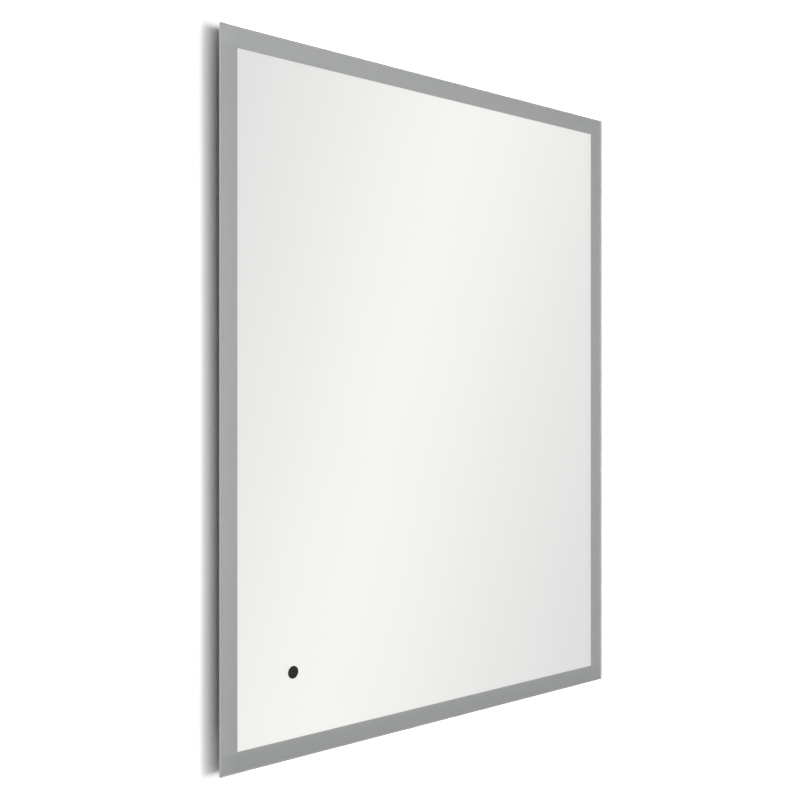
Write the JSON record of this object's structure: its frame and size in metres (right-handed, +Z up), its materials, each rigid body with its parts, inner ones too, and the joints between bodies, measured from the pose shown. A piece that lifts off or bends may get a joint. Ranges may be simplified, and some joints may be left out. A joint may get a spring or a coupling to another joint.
{
  "type": "lighted wall mirror",
  "caption": "Frameless rectangular wall mirror with a satin border lit from behind, a touchless sensor, a shallow rear light frame and a lift-off wall rail.",
  "frame": {"origin": "midway between the wall rail's two screw slots, on the wall's surface", "axes": "+Z up along the mirror's height, +Y into the wall, so the mirror faces -Y, +X to the viewer's right"},
  "size_m": [0.6, 0.0348, 0.75],
  "materials": {
    "clear_glass": "polished",
    "satin_glass": "etched satin seen through glass",
    "silver": "reflective",
    "safety_film": "satin film",
    "foam_tape": "foam",
    "zinc_steel": "zinc plated",
    "screw_steel": "zinc plated",
    "frame_aluminium": "satin anodised",
    "strip_white": "solder mask",
    "led_yellow": "phosphor",
    "opal": "opal satin",
    "painted_sheet": "powder coat, fine texture",
    "driver_plastic": "moulded",
    "circuit_board": "solder mask",
    "ferrite": "sintered",
    "capacitor_can": "sleeved can",
    "grey_plastic": "moulded",
    "terminal_plastic": "moulded",
    "terminal_brass": "turned",
    "black_rubber": "moulded",
    "black_plastic": "moulded",
    "dark_lens": "infrared-passing, polished",
    "lead_white": "extruded sheath",
    "lead_black": "extruded sheath"
  },
  "bodies": {
    "rail": {"wall_rail": "zinc_steel"},
    "hangers": {"hanger_hook_left": "zinc_steel", "hanger_hook_right": "zinc_steel"},
    "mirror": {"access_lid": "painted_sheet", "access_lid_screws": "screw_steel", "back_cover": "painted_sheet", "cable_grommet": "black_rubber", "cord_clamp": "grey_plastic", "cord_clamp_screws": "screw_steel", "corner_brackets": "zinc_steel", "corner_screws": "screw_steel", "cover_screws": "screw_steel", "diffuser_bottom": "opal", "diffuser_left": "opal", "diffuser_right": "opal", "diffuser_top": "opal", "driver_board": "circuit_board", "driver_capacitors": "capacitor_can", "driver_case": "driver_plastic", "driver_lid": "driver_plastic", "driver_screws": "screw_steel", "driver_transformer": "ferrite", "frame_bottom": "frame_aluminium", "frame_left": "frame_aluminium", "frame_right": "frame_aluminium", "frame_top": "frame_aluminium", "glass_pane": "clear_glass", "glazing_tape": "foam_tape", "guide_studs": "zinc_steel", "hanger_bracket_left": "zinc_steel", "hanger_bracket_right": "zinc_steel", "hanger_screws": "screw_steel", "lead_clips": "grey_plastic", "led_lead": "lead_white", "led_packages": "led_yellow", "led_strip_bottom": "strip_white", "led_strip_left": "strip_white", "led_strip_right": "strip_white", "led_strip_top": "strip_white", "safety_film": "safety_film", "satin_border": "satin_glass", "sensor_board": "circuit_board", "sensor_gasket": "foam_tape", "sensor_housing": "black_plastic", "sensor_lead": "lead_black", "sensor_lens": "dark_lens", "silver_layer": "silver", "strip_links": "lead_white", "supply_lead": "lead_white", "terminal_block": "terminal_plastic", "terminal_clamps": "terminal_brass", "terminal_screws": "screw_steel", "wall_bumpers": "black_rubber", "wiring_tray": "grey_plastic"},
    "left_adjuster": {"adjuster_screw_left": "screw_steel", "adjuster_clip_left": "screw_steel"},
    "right_adjuster": {"adjuster_screw_right": "screw_steel", "adjuster_clip_right": "screw_steel"}
  },
  "joints": [
    {"name": "lift_off", "type": "slide", "parent": "rail", "child": "hangers", "axis": [0, 0, 1], "range_m": [0, 0.014]},
    {"name": "height_adjust", "type": "slide", "parent": "hangers", "child": "mirror", "axis": [0, 0, 1], "range_m": [-0.004, 0.004]},
    {"name": "left_adjuster_turn", "type": "hinge", "parent": "mirror", "child": "left_adjuster", "pos_m": [-0.175, -0.0042, 0.0335], "axis": [0, 0, 1], "range_deg": [-2060, 2060]},
    {"name": "right_adjuster_turn", "type": "hinge", "parent": "mirror", "child": "right_adjuster", "pos_m": [0.175, -0.0042, 0.0335], "axis": [0, 0, 1], "range_deg": [-2060, 2060]}
  ],
  "couplings": [
    {"joint": "left_adjuster_turn", "follows": "height_adjust", "rad_per_m": 8976},
    {"joint": "right_adjuster_turn", "follows": "height_adjust", "rad_per_m": 8976}
  ]
}
